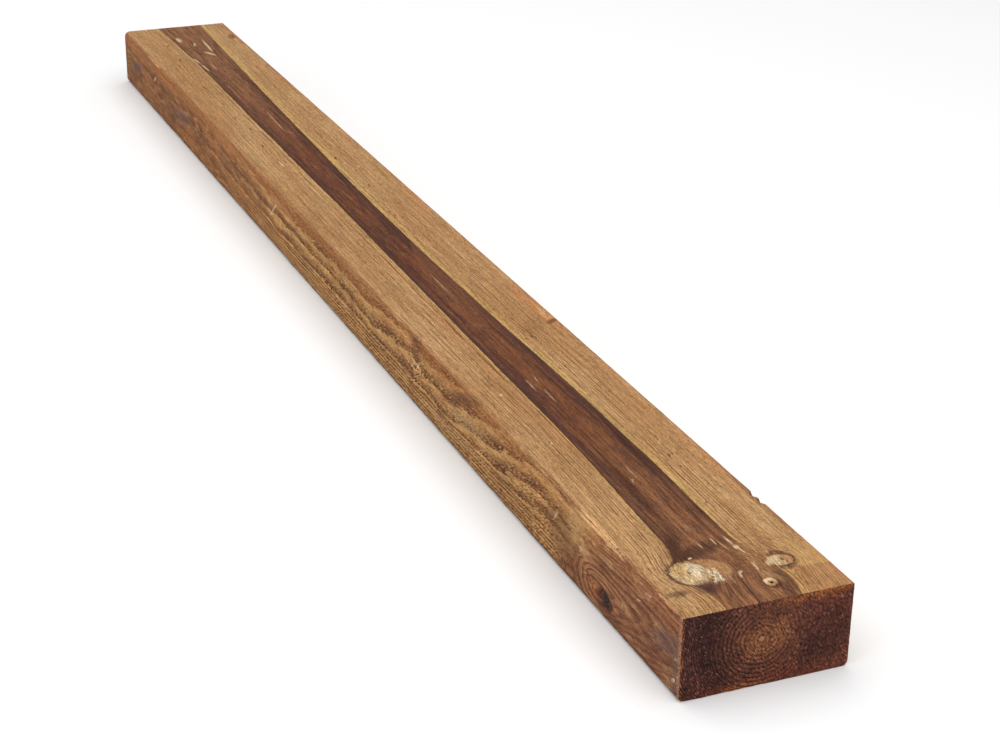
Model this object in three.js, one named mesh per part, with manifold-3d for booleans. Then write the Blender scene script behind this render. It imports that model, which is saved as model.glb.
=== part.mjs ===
// A sawn softwood railway sleeper of the kind sold for garden beds, steps and retaining edges.
//
// It is one length of timber, sawn round the heart of the log and lying on its broad underside.
// Its two top long edges are almost sharp, its two bottom ones are planed off to a small round,
// and two splinters are missing from one top edge.
//
// Frame, in millimetres: the origin is the centre of the underside, +X runs along the length and
// +Z is up.

import * as THREE from "three";
import { mergeVertices } from "three/addons/utils/BufferGeometryUtils.js";
import Module from "manifold-3d";

// Driving dimensions.
const LENGTH = 2400;
const WIDTH = 200;
const HEIGHT = 100;

// Edges: the radius along the top and bottom long edges, and the ease round each sawn end.
const TOP_EDGE_RADIUS = 2;
const BOTTOM_EDGE_RADIUS = 7;
const END_EASE = 0.8;
const EDGE_SEGMENTS = 8;

// Splinters torn out of the +Y top edge: distance of the middle from the +X end, and the length
// of the hollow along the grain.
const SPLINTERS = [
  { fromEnd: 211, length: 15 },
  { fromEnd: 193, length: 13 },
];
const SPLINTER_DEPTH = 4;
const SPLINTER_SEGMENTS = 16;

const wasm = await Module();
wasm.setup();

// The section across the length, with its four corners rounded. Shape x is the sleeper's width
// and shape y is its height, standing on y = 0.
function sleeperSection() {
  const side = WIDTH / 2;
  const low = BOTTOM_EDGE_RADIUS;
  const high = TOP_EDGE_RADIUS;
  const section = new THREE.Shape();
  section.moveTo(-side + low, 0);
  section.lineTo(side - low, 0);
  section.absarc(side - low, low, low, -Math.PI / 2, 0);
  section.lineTo(side, HEIGHT - high);
  section.absarc(side - high, HEIGHT - high, high, 0, Math.PI / 2);
  section.lineTo(-side + high, HEIGHT);
  section.absarc(-side + high, HEIGHT - high, high, Math.PI / 2, Math.PI);
  section.lineTo(-side, low);
  section.absarc(-side + low, low, low, Math.PI, 1.5 * Math.PI);
  return section;
}

// The section drawn out along X, with each sawn end eased back by END_EASE.
function sawnLength() {
  const geometry = new THREE.ExtrudeGeometry(sleeperSection(), {
    depth: LENGTH - 2 * END_EASE,
    curveSegments: EDGE_SEGMENTS,
    bevelThickness: END_EASE,
    bevelSize: END_EASE,
    bevelOffset: -END_EASE,
    bevelSegments: 1,
  });
  geometry.translate(0, 0, END_EASE - LENGTH / 2);
  geometry.rotateX(Math.PI / 2);
  geometry.rotateZ(Math.PI / 2);
  return geometry;
}

// The hollow that one splinter leaves: a long ellipsoid centred on the top edge.
function splinterHollow({ fromEnd, length }) {
  const geometry = new THREE.SphereGeometry(1, SPLINTER_SEGMENTS, SPLINTER_SEGMENTS / 2);
  geometry.scale(length / 2, SPLINTER_DEPTH, SPLINTER_DEPTH);
  geometry.translate(LENGTH / 2 - fromEnd, WIDTH / 2, HEIGHT);
  return geometry;
}

// A geometry as a manifold-3d solid, and back again.
function solidOf(geometry) {
  const bare = geometry.clone();
  bare.deleteAttribute("normal");
  bare.deleteAttribute("uv");
  const merged = mergeVertices(bare);
  const mesh = new wasm.Mesh({
    numProp: 3,
    vertProperties: new Float32Array(merged.getAttribute("position").array),
    triVerts: new Uint32Array(merged.getIndex().array),
  });
  return new wasm.Manifold(mesh);
}

function geometryOf(solid) {
  const mesh = solid.getMesh();
  const geometry = new THREE.BufferGeometry();
  geometry.setAttribute("position", new THREE.BufferAttribute(mesh.vertProperties, 3));
  geometry.setIndex(new THREE.BufferAttribute(mesh.triVerts, 1));
  geometry.computeVertexNormals();
  return geometry;
}

function sleeperGeometry() {
  const hollows = SPLINTERS.map((splinter) => solidOf(splinterHollow(splinter)));
  return geometryOf(hollows.reduce((wood, hollow) => wood.subtract(hollow), solidOf(sawnLength())));
}

const treatedSoftwood = new THREE.MeshStandardMaterial({
  name: "treated_softwood",
  color: 0x8a6240,
  roughness: 0.85,
  metalness: 0,
});

const sleeper = new THREE.Mesh(sleeperGeometry(), treatedSoftwood);
sleeper.name = "sleeper";

const railwaySleeper = new THREE.Group();
railwaySleeper.name = "railway_sleeper";
railwaySleeper.add(sleeper);

export default railwaySleeper;
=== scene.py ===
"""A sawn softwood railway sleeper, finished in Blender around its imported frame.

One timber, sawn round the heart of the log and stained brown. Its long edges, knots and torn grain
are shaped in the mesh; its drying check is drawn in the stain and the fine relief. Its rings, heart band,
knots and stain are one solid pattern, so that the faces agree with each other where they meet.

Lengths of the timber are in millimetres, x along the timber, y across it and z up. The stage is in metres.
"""

import math

import bpy
import numpy as np
from mathutils import Matrix, Vector


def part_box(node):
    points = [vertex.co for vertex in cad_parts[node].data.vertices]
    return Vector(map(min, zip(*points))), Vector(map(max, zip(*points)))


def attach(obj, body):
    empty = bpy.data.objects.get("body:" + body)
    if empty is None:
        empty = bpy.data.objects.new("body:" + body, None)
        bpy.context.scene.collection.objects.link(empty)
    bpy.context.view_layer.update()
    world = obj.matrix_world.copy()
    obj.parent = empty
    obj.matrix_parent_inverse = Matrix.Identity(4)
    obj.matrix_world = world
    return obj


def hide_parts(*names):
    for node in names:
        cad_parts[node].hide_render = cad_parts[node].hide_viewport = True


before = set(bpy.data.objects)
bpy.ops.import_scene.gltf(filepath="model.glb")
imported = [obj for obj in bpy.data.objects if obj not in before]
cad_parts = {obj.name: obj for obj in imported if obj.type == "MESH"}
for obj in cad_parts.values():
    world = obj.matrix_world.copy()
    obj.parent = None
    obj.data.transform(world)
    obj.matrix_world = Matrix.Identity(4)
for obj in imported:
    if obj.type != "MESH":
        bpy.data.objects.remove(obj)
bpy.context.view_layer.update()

bl_info = {
    "name": "Railway Sleeper",
    "version": (1, 0, 0),
    "blender": (4, 5, 0),
    "location": "3D View > Sidebar > Sleeper",
    "description": "Builds a sawn softwood sleeper and the stage that it lies on",
    "category": "Object",
}

NODE = "sleeper"
MM = 0.001

LOW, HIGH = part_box(NODE)
LENGTH, WIDTH, HEIGHT = ((high - low) / MM for low, high in zip(LOW, HIGH))
END = LENGTH / 2
SIDE = WIDTH / 2


# ---------------------------------------------------------------- the timber, as a maker would note it

# Where the heart band meets the sapwood on the top face: (x, y) at the back edge and at the front edge.
HEART_BACK = (
    (-1200, 51), (-900, 42), (-600, 33), (-300, 25), (0, 19.5), (430, 22.5),
    (700, 28.5), (860, 28.5), (1000, 27), (1060, 27), (1100, 33), (1150, 45), (1200, 37),
)
HEART_FRONT = (
    (-1200, -33), (-900, -25), (-600, -27), (-300, -28), (0, -31), (430, -35),
    (700, -36.5), (860, -40), (1000, -46), (1060, -48), (1200, -50),
)
PITH_HEIGHT = 56.5

# Rings are wide near the pith and close in the sapwood.
WIDE_RING = 5.2
CLOSE_RING = 2.8
WIDE_RING_LIMIT = 60.0

# Knots push the grain aside: x, place across the face, push, reach along the grain, fade across it.
TOP_KNOTS = (
    (1119, -46, 27, 36, 48),
    (1130, 52, 13, 27, 26),
    (1168, 20, 6, 16, 14),
    (436, 96, 5, 26, 16),
)
FRONT_KNOTS = (
    (1006, 26, 15, 42, 22),
    (928, 11, 7, 20, 12),
    (430, 60, 12, 26, 22),
    (-180, 52, 9, 30, 26),
    (-640, 66, 5, 20, 12),
    (-960, 68, 6, 22, 14),
)
BACK_KNOTS = (
    (1090, 62, 12, 34, 20),
    (415, 38, 10, 28, 20),
    (-230, 70, 8, 24, 18),
    (-930, 44, 11, 30, 20),
)


# Colours are written as they look on the lit timber: how bright that light is, and the sheen it adds to them.
STAGE_LIGHT = 1.25
STAGE_SHEEN = 0.016


def paint(red, green, blue):
    """The wood's own linear colour, from how it looks in the stage's light, 0 to 255."""
    def linear(value):
        share = value / 255
        seen = share / 12.92 if share <= 0.04045 else ((share + 0.055) / 1.055) ** 2.4
        return max(seen - STAGE_SHEEN, 0.1 * seen) / STAGE_LIGHT

    return (linear(red), linear(green), linear(blue), 1.0)


# ---------------------------------------------------------------- writing node trees as formulas


class Value:
    """A number in a node tree. Arithmetic on it adds Math nodes."""

    def __init__(self, tree, socket):
        self.tree = tree
        self.socket = socket

    def math(self, operation, *others):
        operands = dict(enumerate((self, *others)))
        return self.tree.add("ShaderNodeMath", {"operation": operation}, operands)

    def __add__(self, other):
        return self.math("ADD", other)

    def __sub__(self, other):
        return self.math("SUBTRACT", other)

    def __rsub__(self, other):
        return self.tree.add("ShaderNodeMath", {"operation": "SUBTRACT"}, {0: other, 1: self})

    def __mul__(self, other):
        return self.math("MULTIPLY", other)

    def __truediv__(self, other):
        return self.math("DIVIDE", other)

    __radd__ = __add__
    __rmul__ = __mul__


class Tree:
    """A shader or geometry node tree, written as formulas."""

    def __init__(self, tree):
        self.tree = tree
        self.nodes = tree.nodes

    def node(self, kind, settings=None, values=None):
        """Adds a node: its settings are made first, then its sockets get values or links."""
        node = self.nodes.new(kind)
        for name, setting in (settings or {}).items():
            if name == "curve":
                draw_curve(node, setting)
            else:
                setattr(node, name, setting)
        for name, value in (values or {}).items():
            if isinstance(value, Value):
                self.tree.links.new(value.socket, node.inputs[name])
            elif value is not None:
                node.inputs[name].default_value = value
        return node

    def add(self, kind, settings=None, values=None, output=0):
        """Adds a node and gives one of its outputs."""
        return Value(self, self.node(kind, settings, values).outputs[output])

    def least(self, first, *others):
        for other in others:
            first = first.math("MINIMUM", other)
        return first

    def most(self, first, *others):
        for other in others:
            first = first.math("MAXIMUM", other)
        return first

    def rise(self, value, start, stop, low=0.0, high=1.0):
        """A smooth step from low at start to high at stop. It stays between them, so needs no clamp."""
        return self.add("ShaderNodeMapRange", {"interpolation_type": "SMOOTHSTEP", "clamp": False},
                        {0: value, 1: start, 2: stop, 3: low, 4: high})

    def spread(self, value, start, stop):
        """A straight ramp from 0 at start to 1 at stop, held level beyond them."""
        ramp = self.add("ShaderNodeMapRange", {"interpolation_type": "LINEAR", "clamp": False},
                        {0: value, 1: start, 2: stop, 3: 0.0, 4: 1.0})
        return ramp.math("MAXIMUM", 0.0).math("MINIMUM", 1.0)

    def along(self, value, points, low, high):
        """A curve through points (place, height), for value between the first and last place."""
        start, stop = points[0][0], points[-1][0]
        share = self.spread(value, start, stop)
        shape = [((place - start) / (stop - start), (level - low) / (high - low)) for place, level in points]
        curve = self.add("ShaderNodeFloatCurve", {"curve": shape}, {1: share})
        return curve * (high - low) + low

    def vector(self, x, y, z=1.0):
        """A vector. A place on a face keeps 1 as its third number, which the spots below count on."""
        return self.add("ShaderNodeCombineXYZ", None, {0: x, 1: y, 2: z})

    def noise(self, x, y, z, grain, detail=2.0, rough=0.5):
        """Noise from about -1 to 1 whose grains measure (x, y, z) = grain, in millimetres."""
        place = self.vector(x * (1 / grain[0]), y * (1 / grain[1]), z * (1 / grain[2]))
        return self.grains(place, detail, rough)

    def streaks(self, x, across, grain, seed=0.0, detail=2.0, rough=0.5):
        """Noise from about -1 to 1 on one face, whose grains measure (x, across) = grain."""
        place = self.vector(x * (1 / grain[0]), across * (1 / grain[1]), seed)
        return self.grains(place, detail, rough)

    def grains(self, place, detail, rough):
        """Noise from about -1 to 1 whose grains measure about 1."""
        level = self.add("ShaderNodeTexNoise", {"noise_dimensions": "3D"},
                         {"Vector": place, "Scale": 1.0, "Detail": detail, "Roughness": rough})
        return level * 5.0 - 2.5

    def mix(self, share, first, second):
        """first where share is 0 and second where it is 1, both colours."""
        return self.add("ShaderNodeMix", {"data_type": "RGBA"}, {0: share, 6: first, 7: second}, output=2)

    def shade(self, colour, level):
        """A colour made lighter or darker by a number."""
        return self.add("ShaderNodeVectorMath", {"operation": "SCALE"}, {0: colour, 3: level})

    def spot(self, place, x, across, half_length, half_width, tilt=0.0, soft=0.35):
        """1 inside an ellipse on a face and 0 outside it, with a soft rim."""
        run, lift = math.cos(math.radians(tilt)), math.sin(math.radians(tilt))
        length = self.off_line(place, (x, across), (run / half_length, lift / half_length))
        width = self.off_line(place, (x, across), (-lift / half_width, run / half_width))
        reach = length.math("MULTIPLY_ADD", length, width * width)
        return self.rise(reach, (1 + soft) ** 2, (1 - soft) ** 2)

    def off_line(self, place, centre, direction):
        """How far a place lies from a centre, measured in one direction on a face."""
        start = -centre[0] * direction[0] - centre[1] * direction[1]
        return self.add("ShaderNodeVectorMath", {"operation": "DOT_PRODUCT"},
                        {0: place, 1: (*direction, start)}, output=1)

    def spots(self, place, marks, soft=0.5):
        """All the marks (x, across, half length, half width, tilt) of a list, as one mask."""
        total = self.spot(place, *marks[0], soft=soft)
        for mark in marks[1:]:
            total = self.most(total, self.spot(place, *mark, soft=soft))
        return total


def draw_curve(node, points):
    """Sets a Float Curve's points."""
    curve = node.mapping.curves[0]
    while len(curve.points) < len(points):
        curve.points.new(0.5, 0.5)
    for point, (place, level) in zip(curve.points, points):
        point.location = (place, level)
        point.handle_type = "AUTO_CLAMPED"
    node.mapping.update()


# ---------------------------------------------------------------- the solid pattern of the wood


class Timber:
    """The places in the timber that both its shape and its colour are worked out from."""

    def __init__(self, tree, position):
        self.tree = t = tree
        parts = t.node("ShaderNodeSeparateXYZ", None, {0: position})
        self.x, self.y, self.z = (Value(t, parts.outputs[axis]) * (1 / MM) for axis in range(3))
        self.depth_top = HEIGHT - self.z
        self.depth_under = self.z
        self.depth_front = self.y + SIDE
        self.depth_back = SIDE - self.y
        self.depth_ring_end = END - self.x
        self.depth_far_end = self.x + END
        self.read_faces()
        self.read_grain()

    def read_faces(self):
        """How far each point belongs to a face: 1 on it, 0 on the others, and a half on the edge."""
        t = self.tree
        upright = t.least(self.depth_front, self.depth_back)
        level = t.least(self.depth_top, self.depth_under)
        ends = t.least(self.depth_ring_end, self.depth_far_end)
        self.end = t.rise(t.least(upright, level) - ends, -0.3, 0.3)
        self.level = t.rise(upright - level, -0.6, 0.6)
        self.above = t.rise(self.z, HEIGHT * 0.5 - 1, HEIGHT * 0.5 + 1)
        self.behind = t.rise(self.y, -1.0, 1.0)

    def push_aside(self, along, across, knots):
        """How far a row of knots has pushed the grain across a face."""
        total = None
        for x, centre, push, reach, fade in knots:
            run = (along - x) * (1 / reach)
            off = across - centre
            away = off.math("ABSOLUTE")
            side = off / (away + 0.25 * push)
            strength = (run * run + away * (1 / fade)) * -1.0
            moved = side * strength.math("EXPONENT") * push
            total = moved if total is None else total + moved
        return total

    def read_grain(self):
        """The distance from the pith, the ring count and the heart, with the grain bent round the knots."""
        t = self.tree
        x, y, z = self.x, self.y, self.z
        near_top = t.rise(z, 40, 80)
        near_front = t.rise(y, -45, -85)
        self.top_across = y - self.push_aside(x, y, TOP_KNOTS) * near_top
        self.front_across = z - self.push_aside(x, z, FRONT_KNOTS) * near_front
        self.back_edge = t.along(x, HEART_BACK, -60, 60)
        self.front_edge = t.along(x, HEART_FRONT, -60, 60)
        self.pith = (self.back_edge + self.front_edge) * 0.5
        self.heart_half = (self.back_edge - self.front_edge) * 0.5
        sway = t.noise(x, y, z, (330, 70, 70), detail=1.0)
        across = self.top_across - self.pith + sway * 0.9
        up = self.front_across - PITH_HEIGHT
        self.radius = (across * across + up * up).math("SQRT")
        cut = HEIGHT - PITH_HEIGHT
        heart_limit = (self.heart_half * self.heart_half + cut * cut).math("SQRT")
        self.outside_heart = self.radius - heart_limit
        wander = t.noise(x, y, z, (210, 45, 45), detail=2.0)
        self.grown = self.radius + wander * 1.3
        self.rings = ring_count(t, self.grown)


def ring_count(t, radius):
    """How many rings lie inside a radius: wide ones first, then close ones."""
    wide = t.least(radius, WIDE_RING_LIMIT) * (1 / WIDE_RING)
    close = (radius - WIDE_RING_LIMIT).math("MAXIMUM", 0.0) * (1 / CLOSE_RING)
    return wide + close


def late_wood(t, rings):
    """The dark outer part of each ring: it darkens slowly and stops sharply."""
    share = rings.math("FRACT")
    return t.rise(share, 0.35, 0.85) * t.rise(share, 1.0, 0.93)


# ---------------------------------------------------------------- the shape of the surface

TOP_EDGE = 2.0
BOTTOM_EDGE = 7.0

# Splinters missing from the back top edge: start and end along the timber.
CHIPS = ((981, 992), (999.5, 1009))

# Where the front top edge has lost a long sliver: start, end and how far it has opened.
SLIVERS = ((750, 862, 0.6), (952, 1066, 2.4), (1140, 1185, 0.8), (330, 372, 0.7), (-1010, -930, 0.8))


def window(t, value, start, stop, ease):
    """1 between start and stop and 0 outside them."""
    return t.rise(value, start - ease, start + ease) * t.rise(value, stop + ease, stop - ease)


def edge_radius(t, wood):
    """The radius of the long edge nearest to each point, worn and chipped as it goes along."""
    x = wood.x
    wear = t.noise(x, wood.y, wood.z, (46, 90, 90), detail=3.0, rough=0.65)
    front = wear * 0.45
    for start, stop, opened in SLIVERS:
        front = front + window(t, x, start, stop, 7.0) * opened
    front = front + t.rise(wood.depth_far_end, 26, 2) * 9.0 + t.rise(wood.depth_ring_end, 9, 1) * 1.6
    back = wear * 0.4
    for start, stop in CHIPS:
        back = back + window(t, x, start, stop, 3.5) * 6.0
    top = front + (back - front) * wood.behind + TOP_EDGE
    bottom = wear * 1.1 + BOTTOM_EDGE
    return (bottom + (top - bottom) * wood.above).math("MAXIMUM", 0.8)


# The relief in millimetres: the saw's long waves, the late wood's ridges, the torn grain and the rough
# ends, all about a level that lies below the true face.
SAW_WAVES = 0.10
RING_RIDGES = 0.14
TORN_DEPTH = 0.42
END_ROUGHNESS = 0.16
SURFACE_LEVEL = 0.32


def relief(t, wood):
    """How far the sawn surface lies below the true face, never less than nothing."""
    x, y, z = wood.x, wood.y, wood.z
    sawn = t.noise(x, y, z, (170, 34, 34), detail=2.0) * SAW_WAVES
    ridges = late_wood(t, wood.rings) * -RING_RIDGES
    torn = torn_grain(t, wood)
    torn_relief = torn * t.noise(x, y, z, (11, 3.4, 3.4), detail=2.0) * TORN_DEPTH
    hollows = knot_relief(t, wood)
    rough_end = wood.end * t.noise(x, y, z, (40, 3.2, 3.2), detail=3.0, rough=0.6) * END_ROUGHNESS
    total = sawn + ridges + torn_relief + hollows + rough_end + SURFACE_LEVEL
    return total.math("MAXIMUM", 0.0)


def torn_grain(t, wood):
    """How rough the saw has left each face: the front face most, in its middle and towards the ring end."""
    on_front = (1 - wood.end) * (1 - wood.level) * (1 - wood.behind)
    stretch = t.rise(wood.x, -330, 60) * t.rise(wood.x, 975, 900)
    return on_front * stretch


# The hollows and raised hearts of the knots: x, place across the face, half length, half width, tilt.
BIG_HOLLOW = (1120, -45, 26, 27)
BIG_RAISED = (1121, -46, 20, 21)
OVAL_HOLLOW = (1130, 51, 17, 17)
OVAL_RAISED = (1129, 51, 12, 14)
ROUND_HOLE = (1167, 20, 2.4, 2.2)
TIGHT_HOLLOW = (1006, 25, 33, 13, -4)
TIGHT_RAISED = (996, 25, 17, 8, -4)


def knot_relief(t, wood):
    """The hollows and rims of the knots, in millimetres below the face."""
    on_top = wood.above * wood.level * (1 - wood.end)
    on_front = (1 - wood.level) * (1 - wood.behind) * (1 - wood.end)
    top = t.vector(wood.x, wood.y)
    front = t.vector(wood.x, wood.z)
    fibres = t.streaks(wood.x, wood.y, (16, 2.6), seed=3.0)
    big = t.spot(top, *BIG_HOLLOW, soft=0.2)
    big_core = t.spot(top, *BIG_RAISED, soft=0.3)
    oval_rim = t.spot(top, *OVAL_HOLLOW, soft=0.15) - t.spot(top, *OVAL_RAISED, soft=0.2)
    dot = t.spot(top, *ROUND_HOLE)
    tight = t.spot(front, *TIGHT_HOLLOW, soft=0.25)
    tight_core = t.spot(front, *TIGHT_RAISED, soft=0.3)
    top_hollow = big * 0.9 - big_core * (fibres * 0.35 + 0.5) + oval_rim * 0.8 + dot * 1.4
    front_hollow = tight * 1.2 - tight_core * 1.0
    return on_top * top_hollow + on_front * front_hollow


def shape_geometry(tree, geometry):
    """Rounds the box's edges and lays its relief, and gives the shaped geometry's socket."""
    t = Tree(tree)
    position = t.add("GeometryNodeInputPosition")
    wood = Timber(t, position)
    radius = edge_radius(t, wood)
    upright = t.least(wood.depth_front, wood.depth_back)
    level = t.least(wood.depth_top, wood.depth_under)
    in_y = (radius - upright).math("MAXIMUM", 0.0)
    in_z = (radius - level).math("MAXIMUM", 0.0)
    reach = (in_y * in_y + in_z * in_z).math("SQRT").math("MAXIMUM", 0.001)
    pull = 1 - t.most(in_y, in_z) / reach

    ease = (1 - wood.behind) * t.rise(wood.x, 1100, 1190) * 1.1 + 0.5
    ease = ease * (t.noise(wood.x, wood.y, wood.z, (14, 14, 9), detail=2.0) * 0.45 + 1.0)
    from_rim = t.least(upright, level) + t.least(wood.depth_ring_end, wood.depth_far_end)
    rim = t.rise(from_rim / ease, 2.0, 0.0) * ease * 0.35

    sunk = relief(t, wood)
    long_face = 1 - wood.end
    move_y = in_y * pull + long_face * (1 - wood.level) * sunk + rim * (1 - wood.level)
    move_z = in_z * pull + long_face * wood.level * sunk + rim * wood.level
    move_x = wood.end * sunk + rim
    across = wood.y - wood.y.math("SIGN") * move_y
    up = wood.z - (wood.z - HEIGHT / 2).math("SIGN") * move_z
    along = wood.x - wood.x.math("SIGN") * move_x
    place = t.vector(along * MM, across * MM, up * MM)
    return t.add("GeometryNodeSetPosition", None, {"Geometry": geometry, "Position": place})


# ---------------------------------------------------------------- the stain, rings and knots

SAP = paint(184, 138, 92)
SAP_LIGHT = paint(198, 156, 109)
SAP_BROWN = paint(156, 110, 70)
SAP_GOLD = paint(208, 168, 116)
SAP_LINE = paint(126, 84, 53)
SAP_YELLOW = paint(208, 168, 104)
SAP_ORANGE = paint(196, 130, 82)
SAP_RED = paint(150, 96, 66)
HEART_EDGE = paint(92, 60, 51)
HEART_MIDDLE = paint(120, 73, 49)
HEART_PALE = paint(158, 110, 76)
HEART_LINE = paint(66, 42, 37)
HEART_PURPLE = paint(84, 60, 62)
HEART_DIM = paint(90, 58, 50)
HEART_TONGUE = paint(136, 88, 62)
CREAM = paint(224, 196, 154)
CREAM_PINK = paint(224, 184, 150)
# Fresh pale wood where an edge is torn, brightened as a painted highlight.
FRESH_WOOD_AND_HIGHLIGHT = paint(226, 178, 128)
CREAM_SHADE = paint(190, 150, 104)
CREAM_GOLD = paint(204, 164, 104)
WHITE_WOOD = paint(240, 222, 188)
KNOT_TAN = paint(182, 137, 94)
KNOT_GLOW = paint(214, 160, 112)
TIGHT_LIGHT = paint(172, 116, 74)
TIGHT_DARK = paint(124, 78, 52)
KNOT_BROWN = paint(134, 92, 62)
KNOT_RIM = paint(88, 60, 56)
KNOT_BLACK = paint(50, 40, 42)
KNOT_RUST = paint(128, 64, 42)
RESIN = paint(96, 62, 40)
FRONT_LIGHT = paint(212, 162, 102)
FRONT_DARK = paint(122, 75, 45)
FRONT_LINE = paint(84, 50, 32)
FRONT_PALE = paint(216, 172, 118)
FRONT_RED_LIGHT = paint(182, 127, 86)
FRONT_RED_DARK = paint(102, 62, 49)
FRONT_FAR_LIGHT = paint(166, 114, 72)
FRONT_FAR_DARK = paint(114, 72, 46)
FRONT_ORANGE = paint(184, 118, 70)
FRONT_RED = paint(122, 78, 58)
FRONT_PURPLE = paint(120, 76, 62)
GREY_STAIN = paint(108, 88, 82)
WORN_EDGE = paint(196, 150, 122)
END_DARK = paint(88, 56, 51)
END_MIDDLE = paint(104, 66, 54)
END_HEART = paint(146, 96, 66)
END_RED = paint(116, 68, 54)
END_ORANGE = paint(152, 92, 54)
END_LINE = paint(44, 28, 27)
END_FLECK = paint(206, 160, 126)
PITH_PALE = paint(190, 142, 110)

# How pale and brown the heart band is along the timber, from 0 to 1.
HEART_PALENESS = (
    (-1200, 0.95), (-1000, 0.85), (-800, 0.75), (-600, 0.45), (-450, 0.25), (-300, 0.02), (150, 0.0),
    (350, 0.12), (700, 0.14), (850, 0.35), (1000, 0.7), (1070, 0.9), (1200, 1.0),
)

# Marks on the top face: x, y, half length, half width, tilt in degrees.
TOP_PALE_FLECKS = (
    (1072, 20.5, 9, 0.9, 4), (1094, 23.5, 7, 1.0, 6), (1087, 21.5, 3.5, 2.6, 0), (1132, 21, 7, 1.0, -4),
    (1141, -2.5, 5, 1.3, -12), (1136, 1, 3, 0.7, -40), (1068, 4.5, 6, 0.7, 0), (1092, -36, 2.2, 1.2, -50),
    (-1045, 25, 32, 2.0, -2), (-990, 15, 13, 2.6, 22), (-1062, 5, 10, 1.8, -12), (-1102, -16, 13, 3.2, 0),
    (-945, -22, 16, 1.5, 5), (-897, -19, 18, 1.3, 3), (-255, 60, 5, 1.3, -10), (641, -64, 2.8, 1.3, -20),
    (788, -61, 2.8, 1.3, -20), (-308, -53, 11, 1.0, 0), (1129, 36.5, 4, 1.6, -8),
)
TOP_FIBRES = (
    (888, -6, 14, 0.8, -2), (664, -8, 13, 0.8, -2), (272, -1.5, 26, 0.8, -1), (-540, 6, 44, 0.9, -2),
    (909, -14, 4, 0.9, -20), (609, -4, 8, 0.8, -5), (628, -18, 12, 0.8, -2), (828, 60, 5, 1.2, -30),
    (670, 61, 5, 1.2, -20),
    (-895, -3, 15, 1.0, 0), (1078, 10, 8, 0.8, 8), (1146, -15, 9, 0.8, -4),
    (1030, -7, 6, 0.8, 0), (1070, -13, 5, 0.9, 0),
)
TOP_RESIN_DOTS = (
    (486, 44, 4.2, 1.2, -8), (490, 35, 3.2, 1.0, -8), (590, 46, 4.2, 1.0, -8), (593, 37, 3.2, 0.9, 0),
    (866, 54, 3.8, 1.2, -10), (895, 54, 2.6, 1.0, -10), (1016, 56, 3.2, 1.0, 0), (985, 40, 2.6, 0.9, 0),
    (-160, 45, 6.5, 1.3, -5), (-155, 35, 4.4, 1.1, 0), (-15, 36, 5, 1.1, -20), (-308, 38.5, 5.5, 1.4, -8),
    (-770, -55, 6, 1.5, -8), (-1068, -46, 6, 1.5, -15), (-965, -49, 7, 1.3, -5), (-575, -54, 5, 1.2, 0),
    (-505, -47, 5, 1.2, 0), (-410, -54, 7, 1.4, -5), (-660, -50, 4, 1.1, 0), (-925, -60, 4, 1.1, 0),
    (382, 33, 3.6, 1.1, 0), (862, 60, 3, 1.0, 0),
)
# Dark smudges; the long one at x 1081, on the far side of the big knot, is a painted shadow.
TOP_SMUDGES_AND_SHADOW = (
    (1154, -81, 4, 9, 0), (928, -24, 60, 4, -2), (1081, -22, 9, 27, 20),
    (-1094, 88, 12, 5, -8), (1070, -44, 26, 6, -22), (830, 22, 50, 4, 0),
)

# Marks on the front face: x, z, half length, half width, tilt in degrees.
FRONT_PALE_FLECKS = (
    (889, 62, 8, 1.1, 50), (-197, 68, 15, 1.8, 38), (-213, 53, 8, 1.5, 22), (1027, 94, 5, 0.8, 12),
    (1124, 86, 5, 1.1, 8), (1102, 68, 3, 0.8, 8), (1189, 46, 2.6, 1.2, 20), (1187, 20, 3.0, 1.6, 10),
    (-962, 68, 9, 2.2, 30), (426, 58, 6, 1.3, 40), (444, 62, 8, 1.4, 50), (958, 55, 3.4, 1.6, -10),
)
FRONT_DARK_SMUDGES = (
    (905, 50, 34, 15, -6), (944, 44, 12, 10, 30), (930, 20, 26, 14, 0), (392, 43, 12, 8, 0),
    (612, 88, 40, 6, 18),
    (-640, 66, 14, 3.5, -30), (-962, 66, 17, 9, 20), (438, 86, 14, 13, 60), (1016, 60, 14, 5, 0),
    (930, 36, 14, 4, -18), (1030, 12, 26, 4, 0), (420, 50, 6, 13, 10), (560, 62, 26, 3, 10),
)
FRONT_PALE_PATCHES = ((944, 80, 26, 14, 62), (966, 58, 10, 9, 0), (610, 56, 52, 9, 8), (560, 22, 90, 4, 2))
FRONT_GREY_STAINS = (
    (-1105, 53, 34, 7, 14), (-770, 49, 44, 9, 8), (1172, 56, 26, 9, 12), (1196, 30, 12, 24, 0),
)

# The stains and the parts of each knot, painted one over another, with the same five numbers.
BACK_EDGE_STAIN = (385, 93, 80, 14)
KNOTTY_SPREAD = (1092, 52, 34, 26, 30)
BETWEEN_KNOTS = (1118, 31, 30, 11, 8)
DUSKY_STREAK = (1126, 10, 44, 9, 3)
DARK_LEAF = (1170, 33, 26, 9, -8)
BIG_SHOULDER = (1122, -39, 26.5, 34, -6)
BIG_OUTLINE = (1120, -52, 27.5, 23.5, 4)
BIG_CORE = (1120.5, -50.5, 24, 19.5, 8)
BIG_GOLD = (1106, -58, 13, 9, -20)
BIG_WHITE = (1114, -42, 13, 6)
BIG_TAN_LINES = ((1132, -36, 10, 2.4, -12), (1124, -36, 6, 1.5, 10))
BIG_LOOSE_FIBRES = (
    (1133, -23.5, 14, 2.0, -4), (1130, -29, 13, 1.4, 2), (1142, -32, 7, 1.2, -20), (1113, -32, 8, 1.1, 18),
)
BIG_STAIN = (1153, -47, 11, 11, -20)
BIG_EYE = (1119, -50, 2.4, 2.2)
OVAL_RIM = (1129, 53, 20.5, 15.5, -6)
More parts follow.
